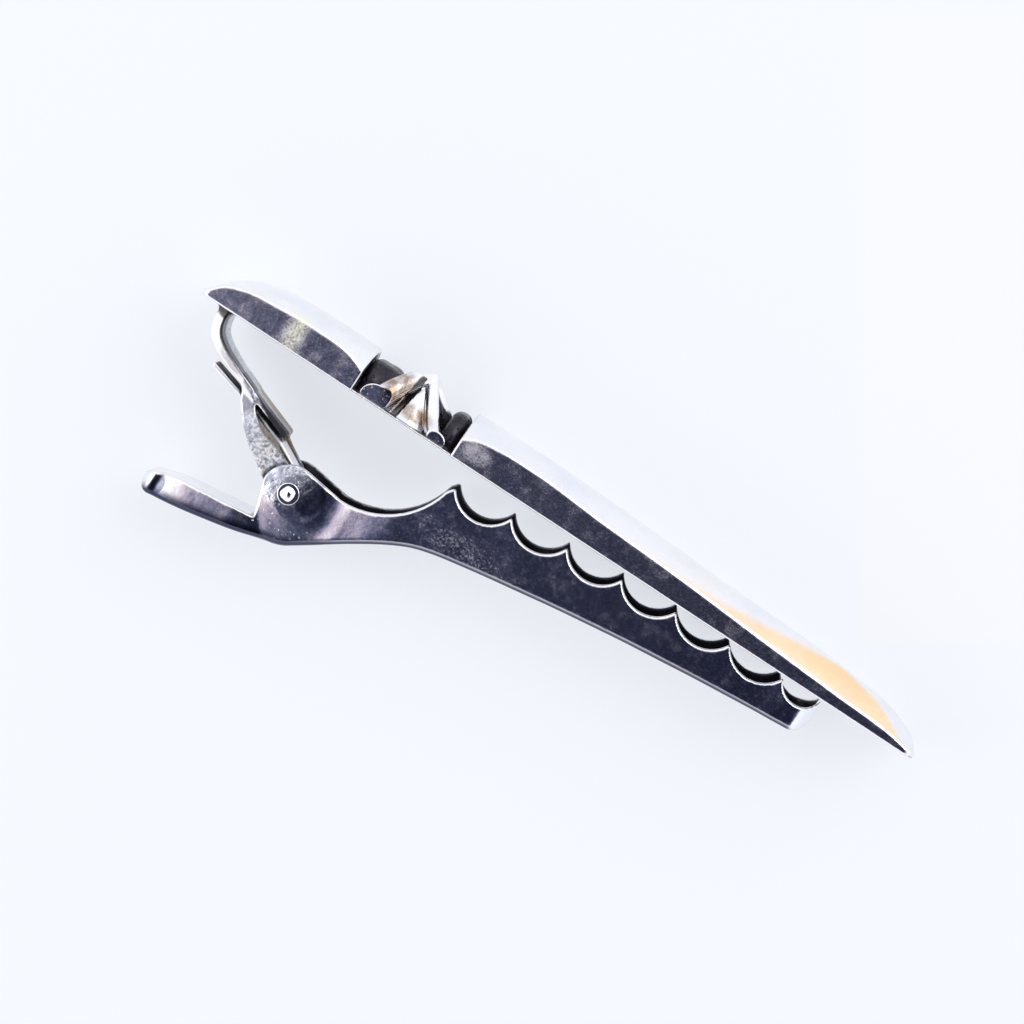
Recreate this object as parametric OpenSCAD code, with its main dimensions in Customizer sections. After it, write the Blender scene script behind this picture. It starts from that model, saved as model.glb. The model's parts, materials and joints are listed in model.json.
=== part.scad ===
// Sprung alligator tie clip with a star emblem, lying on its side and closed.
// X runs along the bar, Y from the jaw towards the bar's face and Z across the width.
// The origin is the middle of the footprint, on the surface that the clip rests on.

/* [Bar] */
// Length of the bar, tip to tip
bar_l = 61; // [56:0.5:73]
// Width of the bar
bar_w = 8; // [7:0.1:10]
// Height of the bar's crown above its flat underside
bar_crown = 3.4; // [3:0.1:4]
// How far the crown stands above the bar's side edges, beside the emblem
crown_rise = 1.0; // [0.6:0.1:1.4]
// Height of the crown where the long end's nose begins
end_crown = 2.4; // [2:0.1:2.8]
// How far the crown stands above the side edges at the long end
end_rise = 1.8; // [1:0.1:1.9]
// Radius of the bar's four corners, seen from its face
bar_corner = 1.2; // [0.6:0.1:3]
// Radius of the short end's nose, seen from the side
short_nose_r = 5; // [3.5:0.1:6]
// Radius of the long end's nose, seen from the side
long_nose_r = 3.4; // [2.5:0.1:5]

/* [Emblem] */
// Distance from the bar's short end to the middle of the emblem
emblem_x = 17; // [15:0.1:19]
// Length of the round-shouldered boss under the star, along the bar
boss_l = 8.4; // [7:0.1:10]
// Height of the boss
boss_h = 2.75; // [2.2:0.05:3]
// Radius of the boss's two shoulders
boss_r = 1.1; // [0.6:0.1:1.6]
// Height of the star's peak above the bar's underside
star_h = 4.1; // [3.6:0.1:5]
// How far the star's arms stop short of the bar's side faces
star_inset = 0.1; // [0.05:0.05:0.6]
// Half width of an arm where it leaves the star's middle
star_waist = 1.75; // [1.4:0.05:2.2]

/* [Pivot] */
// Distance from the bar's short end to the pivot, along the bar
pivot_x = 12.95; // [12:0.05:14.5]
// Depth of the pivot under the bar's underside
pivot_depth = 8.95; // [8:0.05:11]
// Diameter of the rivet's shaft
rivet_d = 1.2; // [0.9:0.05:1.5]
// How far the rivet's two heads stand out past the shaft
rivet_lip = 0.225; // [0.15:0.025:0.4]
// Height of each rivet head
rivet_head_h = 0.4; // [0.25:0.05:0.6]
// Radial clearance of the rivet in the riser's ears
rivet_clear = 0.04; // [0.02:0.01:0.08]

/* [Riser] */
// Distance from the bar's short end to the riser's inner face under the bar
riser_x = 2.25; // [2:0.05:2.6]
// Width of the riser's upper plate
riser_w = 4.2; // [3.6:0.1:5]
// Thickness of the riser's upper plate
riser_t = 0.8; // [0.6:0.05:1]
// Thickness of the riser's lower web and ears
web_t = 0.42; // [0.35:0.01:0.5]
// Radius of the riser's ears round the rivet
ear_r = 1.5; // [1.3:0.05:1.7]
// Side clearance between the riser's ears and the jaw's walls
side_clear = 0.1; // [0.05:0.01:0.2]

/* [Jaw] */
// Width of the jaw at its teeth
jaw_w = 5.2; // [4.8:0.1:6]
// Width of the jaw at its pivot ears and thumb tab
jaw_ear_w = 4.6; // [4.2:0.1:4.8]
// Thickness of the jaw's side walls
wall_t = 0.55; // [0.45:0.05:0.7]
// Thickness of the jaw's floor
floor_t = 0.7; // [0.5:0.05:0.9]
// Radius of the jaw's ears round the rivet
jaw_ear_r = 2.15; // [1.9:0.05:2.3]
// Distance from the pivot to the first tooth, along the bar
first_tooth = 9.85; // [9:0.05:11]
// How far the jaw's nose stops short of the bar's long end
nose_short = 7.4; // [6:0.1:10]
// Number of pointed teeth on each wall
tooth_count = 7; // [5:1:8]
// Depth of the scallops between teeth, less than half the distance between them
scallop_depth = 1.45; // [1.1:0.05:1.6]
// Depth of the last scallop, behind the nose
nose_scallop = 1.2; // [0.9:0.05:1.3]
// Length of the nose past the last tooth
nose_l = 3.4; // [3:0.1:4]
// Height of the jaw's side at the nose
nose_h = 2.95; // [2.6:0.05:3.2]
// How far the first tooth lies lower than the last
jaw_bow = 1.6; // [1.2:0.05:2]
// Gap between the last tooth and the bar when closed
bite_gap = 0.3; // [0.2:0.05:0.5]
// Depth of the thumb tab's lowest edge under the pivot
tab_bottom = 5.9; // [5.6:0.1:6.6]
// Thickness of the thumb tab at its round end
tab_t = 1.8; // [1.4:0.1:2]
// Reach of the thumb tab, from the pivot to its end
tab_reach = 9.8; // [8.5:0.1:11]

// Radius of the nose's lower corner, seen from the side
nose_round = 1.3; // [0.8:0.1:1.4]

/* [Spring] */
// Thickness of the leaf spring
spring_t = 0.4; // [0.3:0.05:0.45]
// Side clearance of the leaf spring between the riser's ears
spring_clear = 0.15; // [0.1:0.05:0.3]
// Clearance between the leaf spring's turn and the rivet
turn_clear = 0.2; // [0.15:0.05:0.3]

/* [Hidden] */
$fn = 64;
mid_z = bar_w / 2;
pivot_y = -pivot_depth;

// Longer than any piece is deep, for what has to run past a piece
far = 20;

// Radius of an arch of a given half width and rise, and of the bar's domed section
function arch_r(half, rise) = (half * half + rise * rise) / (2 * rise);
dome_r = arch_r(bar_w / 2, crown_rise);
end_dome_r = arch_r(bar_w / 2, end_rise);
boss_x0 = emblem_x - boss_l / 2;
boss_x1 = emblem_x + boss_l / 2;

// Radius of the rounded ends of the bar's two sections, beside the emblem
section_r = 1.2;

// Widths that stack up across the pivot
ears_w = jaw_ear_w - 2 * wall_t - 2 * side_clear;
web_w = ears_w - 2 * web_t;
spring_w = web_w - 2 * spring_clear;
turn_r = rivet_d / 2 + turn_clear + spring_t / 2;
jaw_wide = max(jaw_w, jaw_ear_w);

// Line of the tooth tips, and of the jaw's underside below them
x_first = pivot_x + first_tooth;
x_nose = bar_l - nose_short;
x_last = x_nose - nose_l;
tooth_pitch = (x_last - x_first) / (tooth_count - 1);
function tip_y(x) = -bite_gap - jaw_bow * pow((x_last - x) / (x_last - x_first), 2);
jaw_taper = 0.073;
function jaw_depth(x) = nose_h + jaw_taper * (x_nose - x);
function back_y(x) = tip_y(x) - jaw_depth(x);

// How far each tooth's tip is worn flat
tip_blunt = 0.15;

// Points along an arc, from angle a0 to angle a1
function arc(cx, cy, r, a0, a1, n) =
    [for (i = [0:n]) [cx + r * cos(a0 + (a1 - a0) * i / n), cy + r * sin(a0 + (a1 - a0) * i / n)]];

// Points given as shares of the run and drop from the riser's root to the pivot
function hung(shares) = [for (p = shares)
    [riser_x + p[0] * (pivot_x - riser_x), p[1] * pivot_y]];

// Points moved along
function moved(pts, dx, dy) = [for (p = pts) [p[0] + dx, p[1] + dy]];
function reversed(pts) = [for (i = [len(pts) - 1:-1:0]) pts[i]];

// Points of an open line, moved sideways by d to its left
function unit(v) = v / norm(v);
function left_of(a, b) = let (u = unit(b - a)) [-u[1], u[0]];
function side_line(pts, d) = [for (i = [0:len(pts) - 1])
    let (n0 = left_of(pts[max(i - 1, 0)], pts[max(i, 1)]))
    let (n1 = left_of(pts[min(i, len(pts) - 2)], pts[min(i + 1, len(pts) - 1)]))
    pts[i] + d * (n0 + n1) / (1 + n0 * n1)];

// A band of thickness t along the middle of the line
function band(pts, t) = concat(side_line(pts, t / 2), reversed(side_line(pts, -t / 2)));

// A side outline, given thickness w about the clip's middle plane
module slab(pts, w) {
    translate([0, 0, mid_z - w / 2])
        linear_extrude(w)
            polygon(pts);
}

// A plan outline of points (x, distance from the middle plane), given height along Y
module plan(pts, y0, y1) {
    translate([0, y1, mid_z])
        rotate([90, 0, 0])
            linear_extrude(y1 - y0)
                polygon(concat(pts, reversed([for (p = pts) [p[0], -p[1]]])));
}

// Everything is drawn from the bar's short end and then moved to the origin
module placed() {
    translate([-bar_l / 2, -(star_h + pivot_y - tab_bottom) / 2, 0])
        children();
}

// ---------------------------------------------------------------- bar

module bar_plan() {
    inset = bar_w / 2 - bar_corner;
    plan(concat(arc(bar_corner, inset, bar_corner, 180, 90, 8),
                arc(bar_l - bar_corner, inset, bar_corner, 90, 0, 8)), 0, bar_crown);
}

// A rod along the bar whose top line is the crown, of radius r0 at x0 and r1 at x1
module dome(x0, x1, crown0, crown1, r0, r1) {
    lift = (crown1 - r1) - (crown0 - r0);
    translate([x0, crown0 - r0, mid_z])
        rotate([0, 0, atan(lift / (x1 - x0))])
            rotate([0, 90, 0])
                cylinder(r1 = r0, r2 = r1, h = norm([lift, x1 - x0]), $fn = 128);
}

// Where the side outline of the short end's nose meets the underside
short_nose_x = sqrt(pow(short_nose_r, 2) - pow(short_nose_r - bar_crown, 2));

module short_section() {
    intersection() {
        slab(concat(arc(short_nose_x, bar_crown - short_nose_r, short_nose_r,
                        90 + acos((short_nose_r - bar_crown) / short_nose_r), 90, 10),
                    arc(boss_x0 - section_r, bar_crown - section_r, section_r, 90, 0, 8),
                    [[boss_x0, 0]]), bar_w);
        dome(-1, boss_x0 + 1, bar_crown, bar_crown, dome_r, dome_r);
    }
}

// Where the side outline of the long end's nose leaves the crown
long_nose_x = bar_l - sqrt(pow(long_nose_r, 2) - pow(long_nose_r - end_crown, 2));

module long_section() {
    intersection() {
        slab(concat([[boss_x1, 0]],
                    arc(boss_x1 + section_r, bar_crown - section_r, section_r, 180, 90, 8),
                    arc(long_nose_x, end_crown - long_nose_r, long_nose_r, 90,
                        90 - acos((long_nose_r - end_crown) / long_nose_r), 10)), bar_w);
        dome(boss_x1 - 1, bar_l + 1, bar_crown, end_crown, dome_r, end_dome_r);
    }
}

// Block with round shoulders that the star sits over
module boss() {
    slab(concat([[boss_x1, 0]],
                arc(boss_x1 - boss_r, boss_h - boss_r, boss_r, 0, 90, 8),
                arc(boss_x0 + boss_r, boss_h - boss_r, boss_r, 90, 180, 8),
                [[boss_x0, 0]]), boss_w);
}

module front_bar() {
    color("gainsboro")
        placed()
            union() {
                intersection() {
                    union() {
                        short_section();
                        long_section();
                    }
                    bar_plan();
                }
                boss();
            }
}

// ---------------------------------------------------------------- star

// The star's shoulders stand a little above the boss and reach a little past its sides
star_a0 = 40.5;
star_r = bar_w / 2 - star_inset;
star_foot_h = 1.0;
shoulder_r = star_r * 0.74;
shoulder_h = boss_h + 0.2;
boss_w = 2 * (shoulder_r * cos(star_a0) - 0.15);

// One ring of the star's outline: arm tips at radius r, valleys at radius v, at height y
function star_ring(r, v, y) = [for (i = [0:9])
    let (a = star_a0 + i * 36)
    let (q = (i % 2 == 0) ? r : v)
    [emblem_x + q * sin(a), y, mid_z + q * cos(a)]];

star_rings = [
    star_ring(star_r, star_waist, 0),
    star_ring(star_r, star_waist, star_foot_h),
    star_ring(shoulder_r, star_waist * 0.8, shoulder_h)
];
star_pts = concat([[emblem_x, 0, mid_z]], star_rings[0], star_rings[1], star_rings[2],
                  [[emblem_x, star_h, mid_z]]);
star_faces = concat(
    [for (i = [0:9]) [0, 1 + (i + 1) % 10, 1 + i]],
    [for (k = [0:1], i = [0:9])
        [1 + 10 * k + i, 1 + 10 * k + (i + 1) % 10, 11 + 10 * k + i]],
    [for (k = [0:1], i = [0:9])
        [1 + 10 * k + (i + 1) % 10, 11 + 10 * k + (i + 1) % 10, 11 + 10 * k + i]],
    [for (i = [0:9]) [21 + i, 21 + (i + 1) % 10, 31]]
);

// The star stands on the boss and its near and far arms hang down beside it
module star_emblem() {
    color("silver")
        placed()
            difference() {
                polyhedron(star_pts, star_faces);
                boss();
            }
}

// ---------------------------------------------------------------- riser

// Inner line of the riser's plate, from the bar down to the web, and the end of the web
plate_inner = hung([[0, 0], [0, 0.145], [0.04, 0.21], [0.11, 0.27], [0.21, 0.335],
                    [0.31, 0.4], [0.415, 0.458]]);
plate_outer = side_line(plate_inner, -riser_t);
plate_end = plate_inner[len(plate_inner) - 1];
web_end = hung([[0.75, 0.603]])[0];

// Upper plate, curved out from under the bar; its lower stretch thins to the web
module upper_plate() {
    thin_from = hung([[0.275, 0.382]])[0];
    slab(concat(plate_inner, [plate_end - [0, web_t], thin_from - [0, web_t]],
                reversed([for (i = [0:3]) plate_outer[i]])), riser_w);
}

// Lower web between the ears
module web() {
    drop = [0, web_t / 2];
    slab(band([hung([[0.38, 0.44]])[0] - drop, web_end - drop], web_t), ears_w);
}

// One ear, from the plate's side down to the rivet. The open ear has a gap under the web.
module riser_ear(z0, open) {
    lower = hung([[0.31, 0.41], [0.375, 0.585], [0.46, 0.715], [0.57, 0.84], [0.69, 0.94],
                  [0.905, 1.12], [1, 1]]);
    upper = open
        ? hung([[0.88, 0.815], [0.735, 0.75], [0.615, 0.705], [0.515, 0.61], [0.45, 0.515]])
        : concat(hung([[0.965, 0.805], [0.825, 0.71]]), [web_end - [0, web_t], web_end, plate_end]);
    translate([0, 0, z0])
        linear_extrude(web_t)
            union() {
                polygon(concat(lower, upper));
                translate([pivot_x, pivot_y])
                    circle(r = ear_r);
            }
}

module riser_bracket() {
    color("linen")
        placed()
            difference() {
                union() {
                    upper_plate();
                    web();
                    riser_ear(mid_z + ears_w / 2 - web_t, true);
                    riser_ear(mid_z - ears_w / 2, false);
                }
                translate([pivot_x, pivot_y, mid_z - ears_w])
                    cylinder(d = rivet_d + 2 * rivet_clear, h = 2 * ears_w);
            }
}

// ---------------------------------------------------------------- spring

// Bent strip: its upper leg lies under the riser, turns round the rivet and its lower leg
// bears on the jaw's floor
spring_foot = [-0.75, -3];
spring_line = concat(
    hung([[0.095, 0.47], [0.255, 0.523], [0.415, 0.57], [0.73, 0.698]]),
    arc(pivot_x, pivot_y, turn_r, 62, -125, 14),
    moved([spring_foot], pivot_x, pivot_y)
);

module leaf_spring() {
    color("lightsteelblue")
        placed()
            slab(band(spring_line, spring_t), spring_w);
}

// ---------------------------------------------------------------- jaw

// Underside of the jaw, from the tab's end to the nose
tab_line = [[-tab_reach + tab_t / 2, -tab_bottom], [-5.75, -5.4], [-2.15, -4.65], [-0.05, -4.07],
            [1.45, -3.75], [2.55, -2.95], [5.1, -1.05], [8.05, 0.9], [10.45, 1.97]];
back_run = x_nose - nose_round - x_first;
back_line = concat(
    moved(tab_line, pivot_x, pivot_y),
    [for (k = [1:5]) let (x = x_first + back_run * k / 5) [x, back_y(x)]]
);

// The neck sweeps up in one arc from beside the ears to the side of the first tooth
neck_foot = [pivot_x + 3.4, pivot_y + 1.68];
neck_top = [x_first - 0.35, tip_y(x_first) - 0.55];
neck_rise = neck_top - neck_foot;
neck_r = arch_r(neck_rise[0], neck_rise[1]);
neck_sweep = acos((neck_r - neck_rise[1]) / neck_r);

// Top of the jaw: teeth, neck, ear, notch and thumb tab, from the nose back to the tab's end
tooth_tips = [for (k = [tooth_count - 1:-1:0])
    let (x = x_first + tooth_pitch * k) [x, tip_y(x) - tip_blunt]];
neck_line = arc(neck_foot[0], neck_foot[1] + neck_r, neck_r, neck_sweep - 90, -90, 9);
ear_line = concat(
    arc(pivot_x, pivot_y, jaw_ear_r, 78, 182, 8),
    moved([[-2.0, -0.6], [-1.7, -1.45], [-1.3, -2.85],
           [2.5 - tab_reach, tab_t + 0.5 - tab_bottom]], pivot_x, pivot_y),
    arc(pivot_x - tab_reach + tab_t / 2, pivot_y - tab_bottom + tab_t / 2, tab_t / 2, 100, 250, 8)
);

jaw_outline = concat(back_line,
    arc(x_nose - nose_round, back_y(x_nose - nose_round) + nose_round, nose_round, -80, 0, 6),
    [[x_nose, tip_y(x_nose) - tip_blunt]],
    tooth_tips, neck_line, ear_line);

// Half widths of the jaw in plan, from the tab's end to the nose; grown by g
tab_corner = 1.5;
nose_corner = jaw_w / 2 - 0.2;
function jaw_plan(g) = concat(
    arc(pivot_x - tab_reach + tab_corner, 0, tab_corner + g, 180, 100, 6),
    [[pivot_x - 3, jaw_ear_w / 2 + g], [pivot_x + 3.2, jaw_ear_w / 2 + g],
     [pivot_x + 7.5, jaw_w / 2 + g], [x_nose - nose_corner, jaw_w / 2 + g]],
    arc(x_nose - nose_corner, 0, nose_corner + g, 80, 0, 8)
);

// Hollow of the channel, open towards the bar and, between the ears, towards the riser;
// it runs from the tab's root to the nose
sill_depth = 2.5;
root_depth = 4.3 - floor_t;
module channel() {
    root_x = pivot_x - 1.25;
    mouth_x = root_x - jaw_ear_r;
    floor_line = [for (p = back_line) if (p[0] > root_x) p + [0, floor_t]];
    floor_end = floor_line[len(floor_line) - 1];
    intersection() {
        slab(concat([[mouth_x, far], [mouth_x, pivot_y - sill_depth],
                     [root_x, pivot_y - sill_depth], [root_x, pivot_y - root_depth]], floor_line,
                    [[x_nose, floor_end[1]], [x_nose, far]]), jaw_wide);
        plan(jaw_plan(-wall_t), pivot_y - far, far);
    }
}

// A scallop cut from wall to wall, between tips at x0 and x1
module scallop(x0, x1, depth) {
    r = arch_r((x1 - x0) / 2, depth);
    translate([(x0 + x1) / 2, (tip_y(x0) + tip_y(x1)) / 2 + r - depth, 0])
        cylinder(r = r, h = bar_w);
}

module scallops() {
    for (k = [0:tooth_count - 2])
        scallop(x_first + tooth_pitch * k, x_first + tooth_pitch * (k + 1), scallop_depth);
    scallop(x_last, x_nose, nose_scallop);
}

module toothed_jaw() {
    color("slategray")
        placed()
            difference() {
                intersection() {
                    slab(jaw_outline, jaw_wide);
                    plan(jaw_plan(0), pivot_y - far, far);
                }
                channel();
                scallops();
                translate([pivot_x, pivot_y, 0])
                    cylinder(d = rivet_d, h = bar_w);
            }
}

// ---------------------------------------------------------------- rivet

// A low domed head, with a flat rim, standing on height 0
rivet_head_r = rivet_d / 2 + rivet_lip;
rim_h = rivet_head_h * 0.35;
dome_in = 0.12;
module rivet_head() {
    rotate_extrude()
        polygon(concat([[0, 0], [rivet_head_r, 0], [rivet_head_r, rim_h]],
                       [for (a = [0:15:75])
                           [(rivet_head_r - dome_in) * cos(a),
                            rim_h + (rivet_head_h - rim_h) * sin(a)]],
                       [[0, rivet_head_h]]));
}

module pivot_rivet() {
    color("whitesmoke")
        placed()
            translate([pivot_x, pivot_y, mid_z]) {
                cylinder(d = rivet_d, h = jaw_ear_w + rim_h, center = true);
                translate([0, 0, jaw_ear_w / 2])
                    rivet_head();
                translate([0, 0, -jaw_ear_w / 2])
                    mirror([0, 0, 1])
                        rivet_head();
            }
}

front_bar();
star_emblem();
riser_bracket();
leaf_spring();
toothed_jaw();
pivot_rivet();
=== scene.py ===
"""Sprung alligator tie clip with a star emblem, in polished and partly oxidised silver.

Shapes are drawn in millimetres in the bar's own frame: x from the bar's short tip, y up from
its flat underside and z across its width. Each piece is a field, which is negative inside the
piece, and its mesh is the surface where the field is zero.
"""

import itertools
import json
import math

import bpy
import numpy as np
from mathutils import Matrix, Vector


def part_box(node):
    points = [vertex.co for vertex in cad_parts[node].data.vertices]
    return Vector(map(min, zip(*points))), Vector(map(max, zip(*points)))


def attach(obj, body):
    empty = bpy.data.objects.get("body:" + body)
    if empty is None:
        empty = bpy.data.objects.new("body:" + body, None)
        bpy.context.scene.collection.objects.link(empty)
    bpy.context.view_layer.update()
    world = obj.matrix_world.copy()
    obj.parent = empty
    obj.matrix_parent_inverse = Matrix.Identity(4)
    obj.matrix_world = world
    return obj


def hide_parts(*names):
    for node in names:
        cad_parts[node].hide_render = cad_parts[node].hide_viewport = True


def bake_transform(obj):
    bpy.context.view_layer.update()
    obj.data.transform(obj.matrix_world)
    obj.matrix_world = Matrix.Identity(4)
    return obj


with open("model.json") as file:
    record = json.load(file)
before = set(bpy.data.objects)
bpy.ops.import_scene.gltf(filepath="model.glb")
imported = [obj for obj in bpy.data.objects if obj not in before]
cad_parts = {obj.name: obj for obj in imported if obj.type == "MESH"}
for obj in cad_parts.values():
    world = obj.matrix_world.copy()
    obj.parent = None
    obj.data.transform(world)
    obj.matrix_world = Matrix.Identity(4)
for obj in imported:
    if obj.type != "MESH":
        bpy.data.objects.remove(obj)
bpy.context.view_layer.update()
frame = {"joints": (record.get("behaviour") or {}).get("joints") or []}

MM = 0.001

# ------------------------------------------------------------------ places from the frame

BAR_LOW, BAR_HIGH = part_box("front_bar")
STAR_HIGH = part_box("star_emblem")[1]
RISER_LOW, RISER_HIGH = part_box("riser_bracket")
SPRING_LOW, SPRING_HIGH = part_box("leaf_spring")
JAW_LOW, JAW_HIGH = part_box("toothed_jaw")
RIVET_LOW, RIVET_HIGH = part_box("pivot_rivet")
ORIGIN = np.array(BAR_LOW) / MM
HINGE = next(j for j in frame["joints"] if j["name"] == "jaw_hinge")
PIVOT = np.array(HINGE["pos_m"]) / MM - ORIGIN

BAR_L = (BAR_HIGH.x - BAR_LOW.x) / MM
BAR_W = (BAR_HIGH.z - BAR_LOW.z) / MM
MID_Z = BAR_W / 2
STAR_H = (STAR_HIGH.y - BAR_LOW.y) / MM
RISER_W = (RISER_HIGH.z - RISER_LOW.z) / MM
SPRING_W = (SPRING_HIGH.z - SPRING_LOW.z) / MM
JAW_W = (JAW_HIGH.z - JAW_LOW.z) / MM
NOSE_X = (JAW_HIGH.x - BAR_LOW.x) / MM
TAB_X = (JAW_LOW.x - BAR_LOW.x) / MM
JAW_BOTTOM = (JAW_LOW.y - BAR_LOW.y) / MM
RIVET_L = (RIVET_HIGH.z - RIVET_LOW.z) / MM
RIVET_R = (RIVET_HIGH.x - RIVET_LOW.x) / MM / 2


# ------------------------------------------------------------------ fields

def both(a, b, r=0.0):
    """The part that two fields share, with the edge between them rounded to radius r."""
    u = np.maximum(a + r, 0)
    v = np.maximum(b + r, 0)
    return np.minimum(np.maximum(a, b), -r) + np.sqrt(u * u + v * v)


def either(a, b, r=0.0):
    """Two fields joined, with a fillet of radius r between them."""
    return -both(-a, -b, r)


def without(a, b, r=0.0):
    """Field a with b cut away, the new edge rounded to radius r."""
    return both(a, -b, r)


def smooth(t):
    """0 below 0, 1 above 1 and a smooth step between."""
    t = np.clip(t, 0, 1)
    return t * t * (3 - 2 * t)


def segment(x, y, a, b):
    """Squared distance from the line a to b in a plane."""
    ex, ey = b[0] - a[0], b[1] - a[1]
    wx, wy = x - a[0], y - a[1]
    t = np.clip((wx * ex + wy * ey) / (ex * ex + ey * ey), 0, 1)
    return (wx - ex * t) ** 2 + (wy - ey * t) ** 2


def outline(x, y, points):
    """Signed distance from a closed outline in a plane."""
    nearest = np.inf
    inside = False
    for a, b in zip(points, points[1:] + points[:1]):
        nearest = np.minimum(nearest, segment(x, y, a, b))
        if a[1] != b[1]:
            level = (a[1] > y) != (b[1] > y)
            inside ^= level & (x - a[0] < (b[0] - a[0]) * (y - a[1]) / (b[1] - a[1]))
    return np.where(inside, -1, 1) * np.sqrt(nearest)


def line(x, y, points):
    """Distance from an open line in a plane."""
    pairs = zip(points, points[1:])
    return np.sqrt(np.minimum.reduce([segment(x, y, a, b) for a, b in pairs]))


def disc(x, y, centre, r):
    """Signed distance from a circle in a plane."""
    return np.hypot(x - centre[0], y - centre[1]) - r


def eased(points):
    """A line with its corners cut, twice over, so that it bends instead of turning."""
    for _ in range(2):
        pairs = list(zip(points, points[1:]))
        cut = [(a[0] * p + b[0] * q, a[1] * p + b[1] * q) for a, b in pairs
               for p, q in ((0.75, 0.25), (0.25, 0.75))]
        points = [points[0]] + cut + [points[-1]]
    return points


def across(z, half):
    """Distance outside a band of half width half about the clip's middle plane."""
    return np.abs(z - MID_Z) - half


def curve_through(points, x):
    """A smooth line y(x) through a few points, flat beyond its ends."""
    px, py = np.array(points, float).T
    slope = np.gradient(py, px)
    i = np.clip(np.searchsorted(px, x) - 1, 0, len(px) - 2)
    run = px[i + 1] - px[i]
    t = np.clip((x - px[i]) / run, 0, 1)
    return ((1 + 2 * t) * (1 - t) ** 2 * py[i] + t * (1 - t) ** 2 * run * slope[i]
            + t * t * (3 - 2 * t) * py[i + 1] - t * t * (1 - t) * run * slope[i + 1])


def wobble(x, y, z, size, pitch):
    """Slow unevenness of a surface finished by hand, up to size high, pitch apart."""
    k = 2 * math.pi / pitch
    return size / 3 * (np.sin(k * (x + 0.6 * y) + 1.3) + np.sin(k * (0.7 * z - 0.5 * x) + 4.1)
                       + np.sin(k * (0.9 * y + 0.4 * z + 0.23 * x) + 2.2))


def arc(centre, r, start, end, count):
    """Points along an arc, its angles in degrees."""
    angles = np.radians(np.linspace(start, end, count + 1))
    return [(centre[0] + r * math.cos(a), centre[1] + r * math.sin(a)) for a in angles]


# ------------------------------------------------------------------ meshes from fields

CORNERS = np.array(list(itertools.product((0, 1), repeat=3)))
EDGES = [(a, b) for a in CORNERS for b in CORNERS if (b - a).sum() == 1 and (b >= a).all()]


def skin(field, low, high, step):
    """Points and four-sided faces of the surface where field is zero, in a box."""
    axes = [np.arange(a - 2 * step, b + 3 * step, step) for a, b in zip(low, high)]
    origin = np.array([a[0] for a in axes])
    x, y, z = np.ix_(*axes)
    values = np.broadcast_to(field(x, y, z), [len(a) for a in axes])
    inside = values < 0
    n = np.array(values.shape) - 1
    full = sum(inside[i:i + n[0], j:j + n[1], k:k + n[2]].astype(np.int8) for i, j, k in CORNERS)
    cells = np.argwhere((full > 0) & (full < 8))
    number = np.full(n, -1)
    number[tuple(cells.T)] = np.arange(len(cells))
    total = np.zeros((len(cells), 3))
    hits = np.zeros(len(cells))
    for a, b in EDGES:
        at_a = values[tuple((cells + a).T)]
        at_b = values[tuple((cells + b).T)]
        cut = (at_a < 0) != (at_b < 0)
        share = np.where(cut, at_a / np.where(cut, at_a - at_b, 1), 0)
        total += cut[:, None] * (a + share[:, None] * (b - a))
        hits += cut
    points = origin + (cells + total / hits[:, None]) * step
    return points, np.concatenate([faces_across(inside, number, axis) for axis in range(3)])


def faces_across(inside, number, axis):
    """One face for each grid edge along an axis that the surface cuts."""
    u, v = np.eye(3, dtype=int)[[(axis + 1) % 3, (axis + 2) % 3]]
    below = np.moveaxis(np.moveaxis(inside, axis, 0)[:-1], 0, axis)
    above = np.moveaxis(np.moveaxis(inside, axis, 0)[1:], 0, axis)
    at = np.argwhere(below != above)
    at = at[((at - u - v) >= 0).all(1) & (at < number.shape).all(1)]
    faces = np.stack([number[tuple((at - p).T)] for p in (0 * u, u, u + v, v)], 1)
    solid_below = inside[tuple(at.T)]
    return np.where(solid_below[:, None], faces, faces[:, ::-1])


def gradient(field, points, reach):
    """Values of a field at points, and its slope there."""
    def at(places):
        return np.asarray(field(*places.T), float)

    value = at(points)
    slope = [at(points + reach * e) - at(points - reach * e) for e in np.eye(3)]
    return value, np.stack(slope, 1) / (2 * reach)


SLOPE_SHARE, MOVE_SHARE, LEAST_STEEP = 0.2, 0.6, 0.2


def settle(points, faces, field, step, rounds=3):
    """Evens out the points along the surface and puts them back on it."""
    ends = faces.ravel()
    others = np.roll(faces, -1, 1).ravel()
    count = np.bincount(ends, minlength=len(points))[:, None]
    for _ in range(rounds):
        sums = [np.bincount(ends, points[others, k], len(points)) for k in range(3)]
        points = 0.5 * points + 0.5 * np.stack(sums, 1) / count
        value, slope = gradient(field, points, SLOPE_SHARE * step)
        steepness = np.maximum((slope ** 2).sum(1), LEAST_STEEP)
        shift = np.clip(value / steepness, -MOVE_SHARE * step, MOVE_SHARE * step)
        points = points - shift[:, None] * slope
    return points


def mesh_object(name, points, faces):
    """A smooth-shaded object from points in millimetres in the bar's frame."""
    mesh = bpy.data.meshes.new(name)
    mesh.from_pydata(((points + ORIGIN) * MM).tolist(), [], faces.tolist())
    mesh.polygons.foreach_set("use_smooth", [True] * len(mesh.polygons))
    mesh.update()
    piece = bpy.data.objects.new(name, mesh)
    bpy.context.scene.collection.objects.link(piece)
    return piece


def mark(piece, name, values):
    """Stores one value per point, for the material to read."""
    attribute = piece.data.attributes.new(name, "FLOAT", "POINT")
    attribute.data.foreach_set("value", np.asarray(values, np.float32))


HOLLOW_REACH = 0.55
EDGE_REACH = 0.16


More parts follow.
